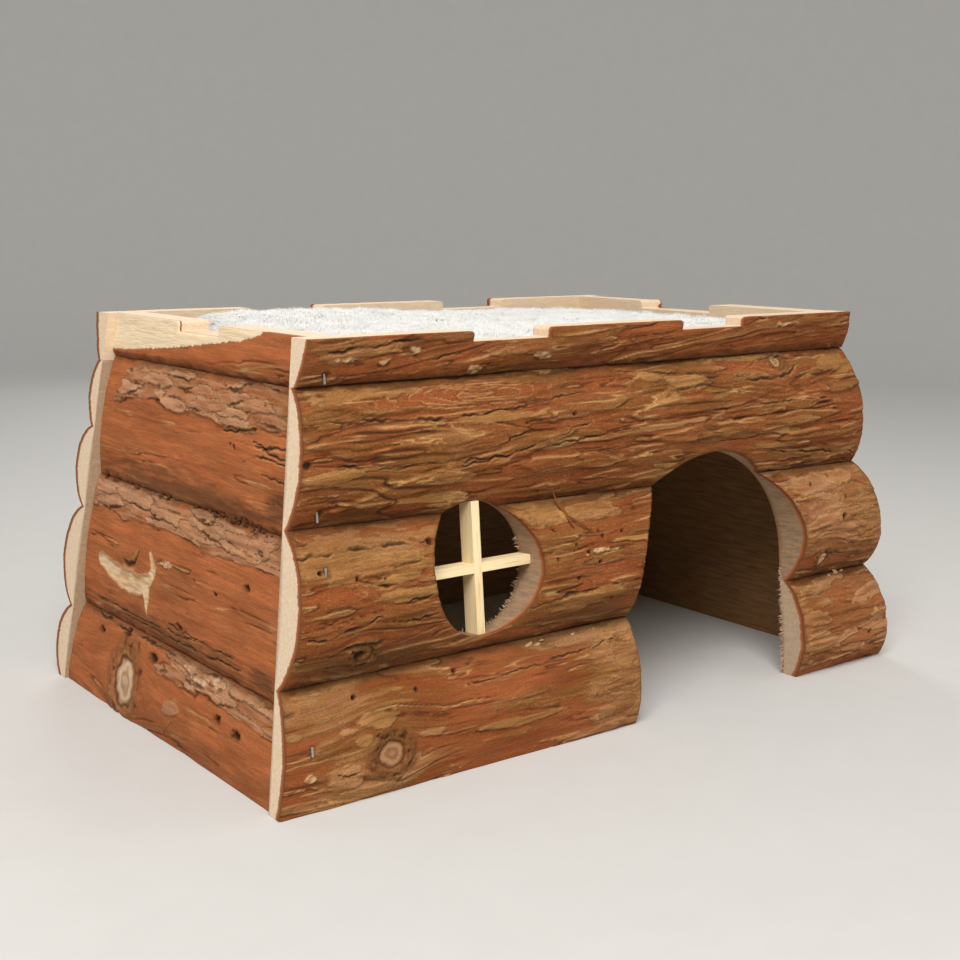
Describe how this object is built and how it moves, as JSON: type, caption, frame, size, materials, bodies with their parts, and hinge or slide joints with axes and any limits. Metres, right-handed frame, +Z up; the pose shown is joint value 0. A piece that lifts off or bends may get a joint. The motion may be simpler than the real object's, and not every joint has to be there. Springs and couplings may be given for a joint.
{
  "type": "guinea pig hideout",
  "caption": "Bark-slab small-animal house with leaning log walls, an arched doorway, a barred round window and a notched parapet round a lift-out plush roof bed.",
  "frame": {"origin": "on the floor under the middle of the house", "axes": "+X along the front wall to the right as seen from the front, +Y towards the back wall, +Z up"},
  "size_m": [0.4002, 0.2618, 0.2],
  "materials": {
    "bark": "rough natural bark outside, sawn pale wood inside and on the cut ends",
    "pale_wood": "sawn, unfinished",
    "plush": "long white pile",
    "staple_steel": "bright wire"
  },
  "bodies": {
    "house": {"front_parapet": "bark", "front_upper_slab": "bark", "front_window_slab": "bark", "front_middle_slab_right": "bark", "front_lower_slab_left": "bark", "front_lower_slab_right": "bark", "back_parapet": "bark", "back_upper_slab": "bark", "back_shoulder_slab": "bark", "back_middle_slab": "bark", "back_lower_slab": "bark", "left_parapet": "bark", "left_upper_slab": "bark", "left_middle_slab": "bark", "left_lower_slab": "bark", "right_parapet": "bark", "right_upper_slab": "bark", "right_middle_slab": "bark", "right_lower_slab": "bark", "window_bar_upright": "pale_wood", "window_bar_level": "pale_wood", "roof_panel": "pale_wood", "roof_batten_front": "pale_wood", "roof_batten_back": "pale_wood", "front_wall_staples": "staple_steel", "back_wall_staples": "staple_steel", "roof_staples": "staple_steel"},
    "bed": {"plush_bed": "plush"}
  },
  "joints": [
    {"name": "bed_lift", "type": "slide", "parent": "house", "child": "bed", "axis": [0, 0, 1], "range_m": [0, 0.06]}
  ]
}
